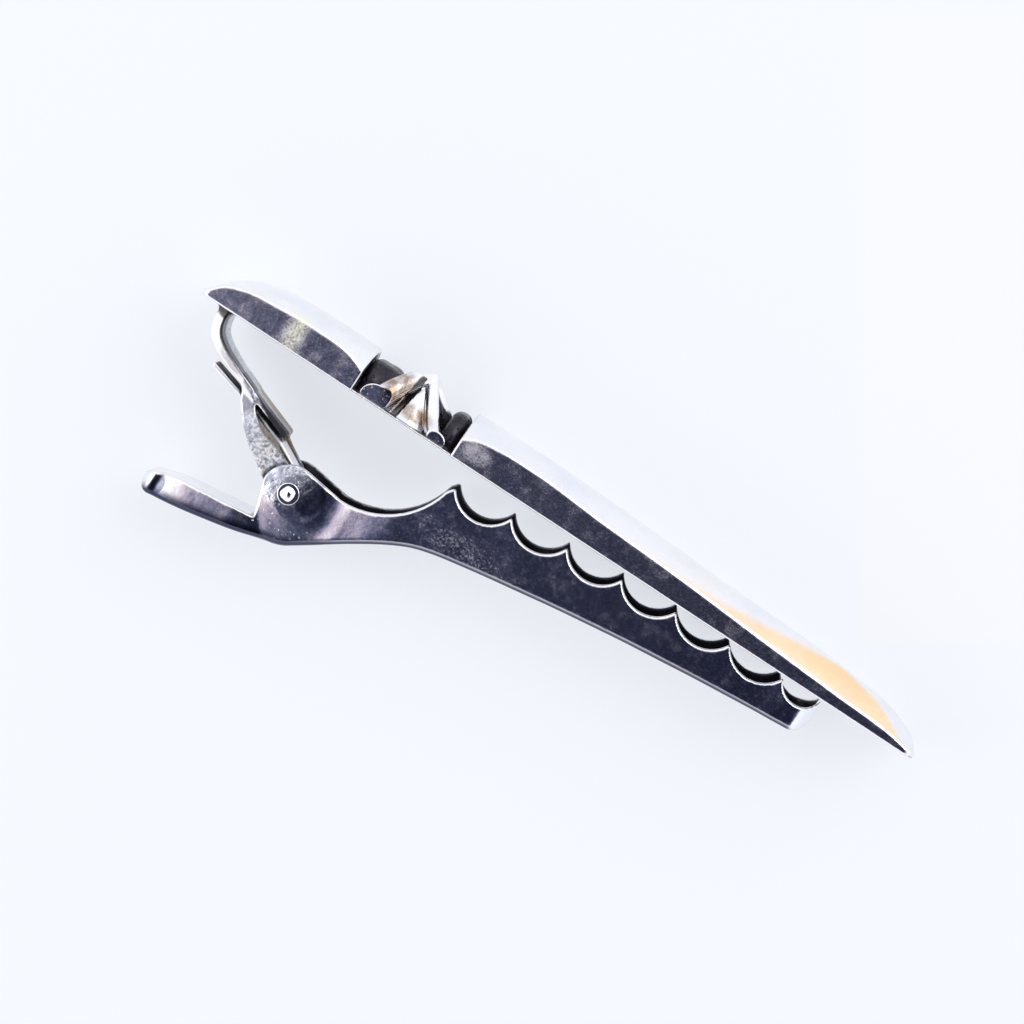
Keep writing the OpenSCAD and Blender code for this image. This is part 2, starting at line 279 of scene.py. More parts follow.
def shaped(name, field, low, high, step, marks):
    """The piece that a field describes, marked with how hollow and how edged it is."""
    points, faces = skin(field, low, high, step)
    points = settle(points, faces, field, step)
    slope = gradient(field, points, 0.3 * step)[1]
    normal = slope / np.maximum(np.linalg.norm(slope, axis=1), 1e-6)[:, None]
    piece = mesh_object(name, points, faces)
    room = whole(*(points + HOLLOW_REACH * normal).T)
    mark(piece, "hollow", np.clip(1 - room / HOLLOW_REACH, 0, 1))
    depth = -np.asarray(field(*(points - EDGE_REACH * normal).T), float)
    mark(piece, "edge", np.clip(1 - depth / EDGE_REACH, 0, 1))
    for key, strength in marks.items():
        mark(piece, key, strength(*points.T))
    return piece


# ------------------------------------------------------------------ bar

BAR_HALF = BAR_W / 2 - 0.02
SHORT_END, LONG_START = 12.8, 21.3
EMBLEM_X = (SHORT_END + LONG_START) / 2
BOSS_L = LONG_START - SHORT_END
# Lines of the domes' side edges and crowns: place along the bar and height.
SHORT_EDGE = [(0.2, 0.45), (1.0, 1.25), (2.4, 1.85), (5, 2.2), (8.4, 2.36), (11.4, 2.16),
              (12.8, 1.65)]
SHORT_CROWN = [(0, 0.3), (0.6, 1.15), (1.9, 2.2), (3.9, 3.0), (6.2, 3.3), (9.5, 3.4), (13, 3.38)]
LONG_EDGE = [(21.2, 1.45), (22.3, 2.0), (24, 2.3), (27.1, 2.41), (33, 2.08), (40, 1.78),
             (47, 1.34), (54, 0.95), (59.3, 0.62), (60.9, 0.3)]
LONG_CROWN = [(21.2, 3.36), (27, 3.4), (36.2, 3.17), (43.5, 2.88), (51, 2.68), (55, 2.4),
              (57.5, 2.1), (59, 1.7), (60.2, 1.2), (60.8, 0.8), (61, 0.5)]
DOME_STEEP = 0.9
DOME_EDGE_R = 0.13
SHORT_CORNER_R, LONG_CORNER_R = 0.5, 1.1
END_R, SOLE_R = 0.1, 0.05
LOBES = [(SHORT_END + 0.02, 15.4), (19.8, LONG_START - 0.02)]
LOBE_TOP = 2.8
LOBE_HALF = 3.1
LOBE_ARCH_R, LOBE_SHOULDER_R, LOBE_FILLET = 2.2, 0.7, 0.15
PLINTH_TOP, PLINTH_R = 0.16, 0.1
BOSS_SIDE_R, BOSS_FILLET = 0.3, 0.08
BLACK_REACH, BLACK_FADE = 0.16, 0.1


def section(x, y, z, ends, edge, crown):
    """One domed stretch of the bar, between ends, with its side edge and crown lines."""
    share = np.clip(np.abs(z - MID_Z) / BAR_HALF, 0, 1)
    rim = curve_through(edge, x)
    top = rim + (curve_through(crown, x) - rim) * (1 - share ** 2)
    dome = (y - top) * DOME_STEEP
    tip = np.maximum(-x, x - BAR_L)
    cut = np.maximum(ends[0] - x, x - ends[1])
    corner = np.where(x < EMBLEM_X, SHORT_CORNER_R, LONG_CORNER_R)
    block = both(both(both(tip, across(z, BAR_HALF), corner), cut, END_R), -y, SOLE_R)
    return both(block, dome, DOME_EDGE_R) + wobble(x, y, z, size=0.012, pitch=9)


def boss(x, y, z):
    """A round-shouldered lobe at each side of the star, on one low plinth."""
    field = both(np.abs(x - EMBLEM_X) - BOSS_L / 2, y - PLINTH_TOP, PLINTH_R)
    arch = both(y - LOBE_TOP, across(z, LOBE_HALF), LOBE_ARCH_R)
    for x0, x1 in LOBES:
        lobe = both(np.abs(x - (x0 + x1) / 2) - (x1 - x0) / 2, arch, LOBE_SHOULDER_R)
        lobe = lobe + wobble(x, y, z, size=0.07, pitch=1.7)
        field = either(field, lobe, LOBE_FILLET)
    return both(both(field, across(z, BAR_HALF), BOSS_SIDE_R), -y, SOLE_R)


def on_boss(x, y, z):
    """1 on the lobes and the top of their plinth, left black, and 0 on the rest of the bar."""
    between = smooth((BOSS_L / 2 + BLACK_FADE / 2 - np.abs(x - EMBLEM_X)) / BLACK_FADE)
    above_sole = smooth((y - BLACK_FADE) / BLACK_FADE)
    return between * above_sole * smooth((BLACK_REACH - boss(x, y, z)) / BLACK_FADE)


def bar(x, y, z):
    """Two domed stretches with the boss between them."""
    short = section(x, y, z, (0, SHORT_END), SHORT_EDGE, SHORT_CROWN)
    long = section(x, y, z, (LONG_START, BAR_L), LONG_EDGE, LONG_CROWN)
    return either(np.minimum(short, long), boss(x, y, z), BOSS_FILLET)


# ------------------------------------------------------------------ star

PEAK_R = 0.5
# Each arm's reach along the bar and across it, its foot's radius, and how far it bows up.
LIMBS = [(-2.35, 3.0, 0.92, 0.23), (2.5, 3.05, 0.6, 0.02), (3.2, -1.4, 0.8, 0.1),
         (0.2, -3.3, 0.8, 0.1), (-3.2, -1.2, 0.8, 0.1)]
LIMB_STEEP, LIMB_FILLET = 0.95, 0.07
CONE_RUN, CONE_RISE, CONE_DROP = 0.78, 0.62, 0.2
STAR_REACH = 3.8
STAR_CUT_R, STAR_SOLE_R = 0.06, 0.05
STAR_HALF = (STAR_HIGH.z - BAR_LOW.z) / MM - MID_Z + 0.05
GROOVE_LINE = [(EMBLEM_X - 0.42, 3.3), (EMBLEM_X - 0.85, 0.1)]
GROOVE_HALF, GROOVE_FADE = 0.3, 0.12


def limb(x, y, z, reach, depth, foot_r, bow):
    """A round arm that swells from the star's peak and levels out at its foot."""
    top = STAR_H - PEAK_R
    # Turns of the arm's middle line: share of the way out, and height there.
    turns = [(0, top), (0.38, top * (0.6 + bow)), (0.74, top * (0.26 + bow)), (1, foot_r * 0.62),
             (1.3, foot_r * 0.5)]
    field = np.inf
    for (u0, y0), (u1, y1) in zip(turns, turns[1:]):
        start = np.array([EMBLEM_X + u0 * reach, y0, MID_Z + u0 * depth])
        run = np.array([(u1 - u0) * reach, y1 - y0, (u1 - u0) * depth])
        wx, wy, wz = x - start[0], y - start[1], z - start[2]
        t = np.clip((wx * run[0] + wy * run[1] + wz * run[2]) / (run @ run), 0, 1)
        gap = np.sqrt((wx - t * run[0]) ** 2 + (wy - t * run[1]) ** 2 + (wz - t * run[2]) ** 2)
        share = min(u1, 1) * t + u0 * (1 - t)
        field = np.minimum(field, gap - (PEAK_R + (foot_r - PEAK_R) * share))
    return field * LIMB_STEEP


def groove(x, y, z):
    """1 along the dark groove beside the star's left near arm, where shade is painted, and 0 away
    from it.
    """
    return smooth((GROOVE_HALF - line(x, y, GROOVE_LINE)) / GROOVE_FADE) * (z > MID_Z)


def star(x, y, z):
    """Five arms from one peak over a lower cone, cut off plumb at their ends."""
    radius = np.hypot(x - EMBLEM_X, z - MID_Z)
    field = CONE_RUN * radius + CONE_RISE * (y - STAR_H + CONE_DROP)
    for arm in LIMBS:
        field = either(field, limb(x, y, z, *arm), LIMB_FILLET)
    ends = np.maximum(np.abs(x - EMBLEM_X) - STAR_REACH, across(z, STAR_HALF))
    field = both(both(field, ends, STAR_CUT_R), 0.02 - y, STAR_SOLE_R)
    return field + wobble(x, y, z, size=0.02, pitch=2.3)


# ------------------------------------------------------------------ riser and spring

RISER_T, WEB_T = 0.8, 0.42
HEAD_H = 0.4
WALL_T = 0.55
JAW_EAR_HALF = (RIVET_L - 2 * HEAD_H) / 2
EARS_HALF = JAW_EAR_HALF - WALL_T - 0.1
EAR_R, EAR_HOLE_R = 1.5, 0.64
RISER_X = (RISER_LOW.x - BAR_LOW.x) / MM + RISER_T
TAPER_L, THINS_BY, NARROWS_BY = 5.2, 0.3, 0.25
PLATE_R, WEB_FILLET, EAR_FILLET = 0.12, 0.25, 0.3
ROOT_HALF, ROOT_FILLET = 0.9, 0.55
SPRING_T, SPRING_EDGE_R = 0.4, 0.19
TURN_R = 1.0


def hung(shares):
    """Points given as shares of the run and drop from the riser's root to the pivot."""
    return [(RISER_X + u * (PIVOT[0] - RISER_X), v * PIVOT[1]) for u, v in shares]


PLATE_LINE = eased(hung([(-0.036, -0.01), (-0.037, 0.13), (-0.005, 0.235), (0.07, 0.31),
                         (0.18, 0.37), (0.28, 0.42), (0.4, 0.475)]))
WEB_LINE = hung([(0.3, 0.425), (0.415, 0.482), (0.75, 0.627)])
NEAR_EAR = hung([(0.31, 0.41), (0.375, 0.585), (0.46, 0.715), (0.57, 0.84), (0.69, 0.94),
                 (0.905, 1.12), (1, 1), (0.88, 0.815), (0.735, 0.75), (0.615, 0.705),
                 (0.515, 0.61), (0.45, 0.515)])
FAR_EAR = hung([(0.31, 0.41), (0.375, 0.585), (0.46, 0.715), (0.57, 0.84), (0.69, 0.94),
                (0.905, 1.12), (1, 1), (0.965, 0.805), (0.825, 0.71), (0.75, 0.65), (0.75, 0.61),
                (0.415, 0.465)])


def ear(x, y, z, points, z0):
    """One ear of the riser: a thin plate down to a round end at the rivet."""
    plate = either(outline(x, y, points), disc(x, y, PIVOT, EAR_R), EAR_FILLET)
    return both(plate, np.abs(z - z0) - WEB_T / 2, 0.1)


# The plate's line closed round the throat, so that its distance tells the two faces apart.
THROAT_SIDE = PLATE_LINE + [(20, PLATE_LINE[-1][1] - 8), (20, PLATE_LINE[0][1])]
LEAN = 0.22


def riser(x, y, z):
    """A bent plate that thins and narrows downwards, a web, two ears and a soldered root."""
    along = smooth((x - RISER_X) / TAPER_L)
    lean = LEAN * (outline(x, y, THROAT_SIDE) + RISER_T / 2)
    plate = both(line(x, y, PLATE_LINE) - (RISER_T - THINS_BY * along) / 2,
                 across(z, RISER_W / 2 - NARROWS_BY * along) + lean, PLATE_R)
    web = both(line(x, y, WEB_LINE) - WEB_T / 2, across(z, EARS_HALF), 0.1)
    near = ear(x, y, z, NEAR_EAR, MID_Z + EARS_HALF - WEB_T / 2)
    far = ear(x, y, z, FAR_EAR, MID_Z - EARS_HALF + WEB_T / 2)
    field = either(plate, web, WEB_FILLET)
    field = either(either(field, near, EAR_FILLET), far, EAR_FILLET)
    root_x = RISER_X - RISER_T / 2
    root = both(disc(x, z, (root_x, MID_Z), RISER_W / 2), np.abs(y + 0.05) - 0.12, 0.1)
    root = both(root, np.abs(x - root_x) - ROOT_HALF, 0.2)
    field = either(field, root, ROOT_FILLET)
    field = np.maximum(field, y + 0.01)
    field = without(field, disc(x, y, PIVOT, EAR_HOLE_R), 0.05)
    return field + wobble(x, y, z, size=0.03, pitch=2.7)


def throat_side(x, y, z):
    """1 on the riser's face towards the throat and 0 elsewhere."""
    return smooth((0.2 - RISER_T / 2 - outline(x, y, THROAT_SIDE)) / 0.12)


def seam(x, y, z):
    """1 on the near half of the throat side, which is painted black as shade, and 0 elsewhere."""
    return throat_side(x, y, z) * smooth((z - MID_Z - 0.1) / 0.5)


SPRING_LINE = (hung([(0.095, 0.47), (0.255, 0.523), (0.415, 0.57), (0.73, 0.698)])
               + arc(PIVOT, TURN_R, 62, -125, 14) + [(PIVOT[0] - 0.75, PIVOT[1] - 3)])


def spring(x, y, z):
    """A bent strip along the spring's line."""
    strip = line(x, y, SPRING_LINE) - SPRING_T / 2
    return both(strip, across(z, SPRING_W / 2), SPRING_EDGE_R)


# ------------------------------------------------------------------ jaw

FLOOR_T = 0.7
JAW_HALF = JAW_W / 2
JAW_EAR_R = 2.15
FIRST_TOOTH = 9.85
NOSE_L, NOSE_H, NOSE_R = 3.4, 2.95, 1.3
TEETH = 7
TAB_T = 1.8
X_FIRST = PIVOT[0] + FIRST_TOOTH
X_LAST = NOSE_X - NOSE_L
TIP_GAP, JAW_BOW, BACK_TAPER = 0.3, 1.6, 0.073
TIP_WORN = 0.12
BITE_DEPTH, NOSE_BITE_DEPTH, BITE_R = 1.45, 1.2, 0.05
EDGE_R, UNDER_R, UNDER_REACH = 0.1, 0.42, 0.8
GROUND_CENTRE, GROUND_R = (PIVOT[0] + 0.9, PIVOT[1] + 0.1), 1.8
GROUND_SLOPE, FALL_TO_TAB, FALL_TO_TEETH = 0.15, 0.8, 2.4
PIN_R = 0.58


def tip_y(x):
    """Height of the line of the tooth tips."""
    return -TIP_GAP - JAW_BOW * ((X_LAST - x) / (X_LAST - X_FIRST)) ** 2


def back_y(x):
    """Height of the jaw's underside, under the teeth."""
    return tip_y(x) - NOSE_H - BACK_TAPER * (NOSE_X - x)


def from_pivot(points):
    """Points given as steps from the pivot."""
    return [(PIVOT[0] + u, PIVOT[1] + v) for u, v in points]


TAB_END = (TAB_X + TAB_T / 2, JAW_BOTTOM + TAB_T / 2)
BACK_POINTS = ([(TAB_END[0], JAW_BOTTOM)]
               + from_pivot([(-5.75, -5.4), (-2.15, -4.65), (-0.05, -4.07), (1.45, -3.75),
                             (2.55, -2.95), (5.1, -1.05), (8.05, 0.9), (10.45, 1.97)])
               + [(x, back_y(x)) for x in np.linspace(X_FIRST + 5, NOSE_X - NOSE_R, 6)])
BACK_LINE = eased(BACK_POINTS)
NECK_FOOT = (PIVOT[0] + 3.4, PIVOT[1] + 1.68)
NECK_TOP = (X_FIRST - 0.35, tip_y(X_FIRST) - 0.55)
NECK_RUN, NECK_RISE = NECK_TOP[0] - NECK_FOOT[0], NECK_TOP[1] - NECK_FOOT[1]
NECK_R = (NECK_RUN ** 2 + NECK_RISE ** 2) / (2 * NECK_RISE)
NECK_SWEEP = math.degrees(math.acos((NECK_R - NECK_RISE) / NECK_R))
JAW_OUTLINE = (
    BACK_LINE
    + arc((NOSE_X - NOSE_R, back_y(NOSE_X - NOSE_R) + NOSE_R), NOSE_R, -80, 0, 6)
    + [(NOSE_X, tip_y(NOSE_X) - TIP_WORN)]
    + [(x, tip_y(x) - TIP_WORN) for x in np.linspace(X_LAST, X_FIRST, TEETH)]
    + arc((NECK_FOOT[0], NECK_FOOT[1] + NECK_R), NECK_R, NECK_SWEEP - 90, -90, 12)
    + arc(PIVOT, JAW_EAR_R, 78, 182, 12)
    + from_pivot([(-2.0, -0.6), (-1.7, -1.45), (-1.3, -2.85)])
    + [(TAB_X + 2.5, JAW_BOTTOM + TAB_T + 0.5)]
    + arc(TAB_END, TAB_T / 2, 100, 250, 8)
)
FLOOR_LINE = [(PIVOT[0] - 1.25, PIVOT[1] - 4.3)] + BACK_POINTS[3:]
CHANNEL = ([(PIVOT[0] - 4, 8), (PIVOT[0] - 4, PIVOT[1] - 2.5), (PIVOT[0] - 1.25, PIVOT[1] - 2.5)]
           + [(x, y + FLOOR_T) for x, y in FLOOR_LINE] + [(NOSE_X + 1, -3), (NOSE_X + 1, 8)])
# Half width of the jaw at places along it.
JAW_PLAN = [(TAB_X, 0.8), (TAB_X + 0.35, 1.45), (TAB_X + 1.4, 1.74),
            (PIVOT[0] - 3.6, JAW_EAR_HALF - 0.03), (PIVOT[0] - 3, JAW_EAR_HALF),
            (PIVOT[0] + 3.2, JAW_EAR_HALF), (PIVOT[0] + 7.5, JAW_HALF), (PIVOT[0] + 9, JAW_HALF),
            (NOSE_X - 4, JAW_HALF), (NOSE_X - 2, JAW_HALF - 0.03), (NOSE_X - 0.7, JAW_HALF - 0.45),
            (NOSE_X, JAW_HALF - 1.5)]


def jaw_half(x):
    """Half width of the jaw at a place along it."""
    return curve_through(JAW_PLAN, x)


def scallop(x, y, x0, x1, depth):
    """One round bite out of the jaw's edge, between tips at x0 and x1."""
    half = (x1 - x0) / 2
    r = (half * half + depth * depth) / (2 * depth)
    middle = (tip_y(x0) + tip_y(x1)) / 2
    return disc(x, y, ((x0 + x1) / 2, middle + r - depth), r)


def channel(x, y, z):
    """The jaw's hollow, open towards the bar and between the ears."""
    return both(outline(x, y, CHANNEL), across(z, jaw_half(x) - WALL_T), 0.15)


def channel_shade(x, y, z):
    """1 on the walls and floor of the channel, where shade is painted, and 0 outside it."""
    return smooth(1 - channel(x, y, z) / 0.1)


def navy_reflection_edge(x, y, z):
    """1 along the jaw's two lower edges, where a dark reflection is painted, and 0 a little way
    from them.
    """
    reach = 0.35 + 0.4 * smooth((PIVOT[0] + 5 - x) / 4)
    beside = smooth((across(z, jaw_half(x)) + 0.9) / 0.5)
    return np.exp(-(line(x, y, BACK_LINE) / reach) ** 4) * beside


def jaw(x, y, z):
    """A toothed channel with ears and a tab, ground thinner away from its rivet."""
    side = outline(x, y, JAW_OUTLINE)
    tips = np.linspace(X_FIRST, X_LAST, TEETH)
    for x0, x1 in zip(tips, tips[1:]):
        side = without(side, scallop(x, y, x0, x1, BITE_DEPTH), BITE_R)
    side = without(side, scallop(x, y, X_LAST, NOSE_X, NOSE_BITE_DEPTH), BITE_R)
    rounding = EDGE_R + UNDER_R * np.exp(-(line(x, y, BACK_LINE) / UNDER_REACH) ** 2)
    from_flat = disc(x, y, GROUND_CENTRE, GROUND_R)
    limit = FALL_TO_TAB + (FALL_TO_TEETH - FALL_TO_TAB) * smooth((x - PIVOT[0] + 3) / 4)
    beside_ear = smooth((PIVOT[0] + 4.6 - x) / 2.4)
    fall = GROUND_SLOPE * np.clip(from_flat, 0, limit) * beside_ear
    body = both(side, across(z, jaw_half(x)) + fall, rounding)
    field = without(body, channel(x, y, z), EDGE_R)
    field = without(field, disc(x, y, PIVOT, PIN_R), 0.03)
    return field + wobble(x, y, z, size=0.018, pitch=6)


# ------------------------------------------------------------------ rivet

RIM_HALF, RIM_R = 0.13, 0.06
DOME_R, DOME_SUNK = 0.66, 0.26


def rivet(x, y, z):
    """A shaft with two hammered heads: a thin rim and a dome within it."""
    radius = np.hypot(x - PIVOT[0], y - PIVOT[1])
    height = np.abs(z - MID_Z) - JAW_EAR_HALF
    shaft = both(radius - PIN_R, height, 0.05)
    rim = both(radius - RIVET_R, np.abs(height - 0.03) - RIM_HALF, RIM_R)
    dome = both(np.sqrt(radius ** 2 + (height + DOME_SUNK) ** 2) - DOME_R, -0.1 - height, 0.02)
    dents = wobble(x, y, z, size=0.05, pitch=0.8)
    return either(either(shaft, rim, 0.02), dome + dents, 0.04)


def whole(x, y, z):
    """The whole clip: the nearest of all its pieces."""
    return np.minimum.reduce([f(x, y, z) for f in (bar, star, riser, spring, jaw, rivet)])


# ------------------------------------------------------------------ materials

# The Mix node's colour sockets, whose names its number sockets share.
MIX_COLOUR_A, MIX_COLOUR_B, MIX_COLOUR_OUT = 6, 7, 2


class Silver:
    """One procedural metal, built node by node in millimetres of the object's own space."""

    def __init__(self, name, roughness):
        """An empty metal; roughness is what its shares of wear are added to."""
        self.material = bpy.data.materials.new(name)
        self.material.use_nodes = True
        self.nodes = self.material.node_tree.nodes
        self.links = self.material.node_tree.links
        self.shader = self.nodes["Principled BSDF"]
        self.shader.inputs["Metallic"].default_value = 1.0
        self.roughness = self.value(roughness)
        self.heights = []
        place = self.nodes.new("ShaderNodeTexCoord").outputs["Object"]
        self.place = self.vector("SCALE", place, scale=1 / MM)

    def join(self, source, socket):
        """Feeds a socket from another node, or sets it to a plain value."""
        if isinstance(source, bpy.types.NodeSocket):
            self.links.new(source, socket)
        else:
            socket.default_value = source

    def value(self, number):
        """A node that gives one number."""
        node = self.nodes.new("ShaderNodeValue")
        node.outputs[0].default_value = number
        return node.outputs[0]

    def vector(self, operation, a, b=None, scale=None):
        """A vector sum of one or two sources."""
        node = self.nodes.new("ShaderNodeVectorMath")
        node.operation = operation
        self.join(a, node.inputs[0])
        if b is not None:
            self.join(b, node.inputs[1])
        if scale is not None:
            node.inputs["Scale"].default_value = scale
        return node.outputs["Value" if operation == "LENGTH" else "Vector"]

    def math(self, operation, a, b=0.0, clamp=False):
        """A sum of two numbers or sources."""
        node = self.nodes.new("ShaderNodeMath")
        node.operation = operation
        node.use_clamp = clamp
        self.join(a, node.inputs[0])
        self.join(b, node.inputs[1])
        return node.outputs[0]

    def fit(self, source, low, high, to_low=0.0, to_high=1.0):
        """Maps low..high to a new range, smoothly and with nothing beyond it."""
        node = self.nodes.new("ShaderNodeMapRange")
        node.interpolation_type = "SMOOTHSTEP"
        limits = {"From Min": low, "From Max": high, "To Min": to_low, "To Max": to_high}
        for name, number in limits.items():
            node.inputs[name].default_value = number
        self.join(source, node.inputs["Value"])
        return node.outputs[0]

    def noise(self, per_mm, detail=3.0, stretch=(1, 1, 1), rough=0.55):
        """Noise with a number of blotches to the millimetre, stretched along an axis."""
        node = self.nodes.new("ShaderNodeTexNoise")
        node.inputs["Scale"].default_value = per_mm
        node.inputs["Detail"].default_value = detail
        node.inputs["Roughness"].default_value = rough
        self.join(self.vector("MULTIPLY", self.place, stretch), node.inputs["Vector"])
        return node.outputs["Fac"]

    def pits(self, per_mm, size):
        """Small round pits, 1 inside them and 0 outside."""
        node = self.nodes.new("ShaderNodeTexVoronoi")
        node.inputs["Scale"].default_value = per_mm
        self.join(self.place, node.inputs["Vector"])
        return self.fit(node.outputs["Distance"], size * 0.4, size, 1.0, 0.0)

    def stored(self, name):
        """A mark that the mesh carries point by point."""
        node = self.nodes.new("ShaderNodeAttribute")
        node.attribute_name = name
        return node.outputs["Fac"]

    def near(self, centre, size, edge=0.5):
        """1 in a soft-edged ellipsoid, given in the bar's frame, and 0 outside it."""
        shifted = self.vector("SUBTRACT", self.place, tuple(np.array(centre) + ORIGIN))
        share = self.vector("LENGTH", self.vector("DIVIDE", shifted, size))
        return self.fit(share, 1 - edge, 1 + edge, 1.0, 0.0)

    def mix(self, share, a, b):
        """Colour a, going over to colour b with the share."""
        node = self.nodes.new("ShaderNodeMix")
        node.data_type = "RGBA"
        self.join(share, node.inputs["Factor"])
        self.join(a, node.inputs[MIX_COLOUR_A])
        self.join(b, node.inputs[MIX_COLOUR_B])
        return node.outputs[MIX_COLOUR_OUT]

    def times(self, a, b):
        """Two numbers or sources multiplied."""
        return self.math("MULTIPLY", a, b)

    def rougher(self, share, amount):
        """Adds an amount of roughness where the share is 1."""
        self.roughness = self.math("ADD", self.roughness, self.times(share, amount), clamp=True)

    def raised(self, source, height_mm):
        """Adds relief of a height in millimetres."""
        self.heights.append((source, height_mm))

    def finish(self, colour):
        """Joins colour, roughness and all the relief to the shader."""
        self.join(colour, self.shader.inputs["Base Color"])
        self.links.new(self.roughness, self.shader.inputs["Roughness"])
        normal = None
        for source, height in self.heights:
            bump = self.nodes.new("ShaderNodeBump")
            bump.inputs["Distance"].default_value = height * MM
            self.join(source, bump.inputs["Height"])
            if normal is not None:
                self.links.new(normal, bump.inputs["Normal"])
            normal = bump.outputs["Normal"]
        self.links.new(normal, self.shader.inputs["Normal"])
        return self.material


PALE = (0.93, 0.93, 0.95, 1)
COOL = (0.78, 0.82, 0.92, 1)
WARM = (0.95, 0.86, 0.76, 1)
# Black of the real oxide in hollows, also used for painted shade.
OXIDE_AND_SHADE = (0.025, 0.022, 0.03, 1)
BROWN = (0.3, 0.19, 0.1, 1)
NAVY_REFLECTION = (0.025, 0.032, 0.075, 1)
HIGHLIGHT_YELLOW = (0.93, 0.92, 0.62, 1)
DARK_BLUE_GREY = (0.1, 0.12, 0.18, 1)
SHADE_GREY = (0.1, 0.11, 0.17, 1)
SLATE = (0.3, 0.34, 0.43, 1)
PALE_BLUE_REFLECTION = (0.42, 0.47, 0.57, 1)
REFLECTED_TAN = (0.42, 0.33, 0.24, 1)


def silver_base(metal, grain=0.5, tarnish=0.9):
    """Colour shared by all the silver: cool and warm blotches, with oxide in hollows."""
    blotch = metal.fit(metal.noise(0.22, 4), 0.4, 0.65)
    colour = metal.mix(metal.times(blotch, 0.5), PALE, COOL)
    warm = metal.fit(metal.noise(0.35, 3, (1, 1.4, 0.8)), 0.52, 0.72)
    colour = metal.mix(metal.times(warm, 0.35), colour, WARM)
    patchy = metal.fit(metal.noise(1.6, 5), 0.3, 0.6)
    hollow = metal.fit(metal.stored("hollow"), 0.3, 0.8)
    oxide = metal.times(metal.times(hollow, metal.fit(patchy, 0, 1, 0.6, 1.0)), tarnish)
    colour = metal.mix(oxide, colour, OXIDE_AND_SHADE)
    metal.rougher(oxide, 0.25)
    cloud = metal.noise(0.9, 5)
    metal.rougher(metal.fit(cloud, 0.45, 0.7), 0.08)
    fine = metal.noise(9, 4, (0.5, 1, 1))
    metal.rougher(metal.fit(fine, 0.45, 0.7), 0.1 * grain)
    metal.raised(fine, 0.008 * grain)
    scratches = metal.noise(7, 3, (0.06, 1, 1))
    metal.raised(scratches, 0.004 * grain)
    metal.raised(metal.noise(0.8, 2), 0.02)
    worn = metal.fit(metal.stored("edge"), 0.25, 0.8)
    return metal.mix(metal.times(worn, 0.7), colour, PALE)


def bar_silver():
    """Polished silver with a sanded patch, a painted yellowish highlight on a rougher patch and
    blackened lobes.
    """
    metal = Silver("bar_silver", 0.16)
    colour = silver_base(metal, 0.8)
    speckle = metal.fit(metal.noise(7, 5), 0.35, 0.65, 0.35, 1.0)
    sanded = metal.times(metal.near((22.8, 1.15, BAR_W), (1.2, 0.7, 0.8)), speckle)
    metal.rougher(sanded, 0.2)
    metal.raised(sanded, 0.005)
    # A painted yellowish highlight on the short end's side face, on a rougher patch.
    rough_yellow_highlight = metal.times(metal.near((7.2, 1.5, BAR_W), (0.7, 1.9, 0.8), 0.9), speckle)
    colour = metal.mix(metal.times(rough_yellow_highlight, 0.8), colour, HIGHLIGHT_YELLOW)
    metal.rougher(rough_yellow_highlight, 0.42)
    metal.raised(rough_yellow_highlight, 0.003)
    lobes = metal.stored("blackened")
    dark = metal.times(lobes, metal.fit(metal.noise(1.3, 4), 0.3, 0.62, 1.0, 0.97))
    colour = metal.mix(dark, colour, OXIDE_AND_SHADE)
    metal.rougher(lobes, 0.12)
    metal.raised(metal.times(lobes, metal.pits(2.2, 0.35)), -0.08)
    return metal.finish(colour)


def star_silver():
    """Bright silver with a brown stain on a flank, a painted brown reflection at the foot and
    painted shade along a dark groove.
    """
    metal = Silver("star_silver", 0.12)
    colour = silver_base(metal, 0.7, 0.45)
    # Brown stain on the left arm's flank; the brown at the foot is a painted reflection.
    stain_and_reflection_blotches = metal.fit(metal.noise(2.2, 5, (1, 0.5, 1)), 0.35, 0.6, 0.5, 1.0)
    flank = metal.near((EMBLEM_X - 1.5, 2.1, BAR_W - 1.2), (1.1, 1.3, 1.8), 0.4)
    foot = metal.near((EMBLEM_X + 0.5, 1.0, BAR_W - 1), (1.3, 0.6, 1.8), 0.4)
    brown = metal.times(stain_and_reflection_blotches, metal.math("MAXIMUM", flank, foot))
    colour = metal.mix(metal.times(brown, 0.88), colour, BROWN)
    # Painted black shade along the groove between the arms.
    groove = metal.stored("groove")
    colour = metal.mix(metal.times(groove, 0.9), colour, OXIDE_AND_SHADE)
    metal.raised(groove, -0.12)
    metal.raised(metal.pits(2.6, 0.2), -0.006)
    return metal.finish(colour)


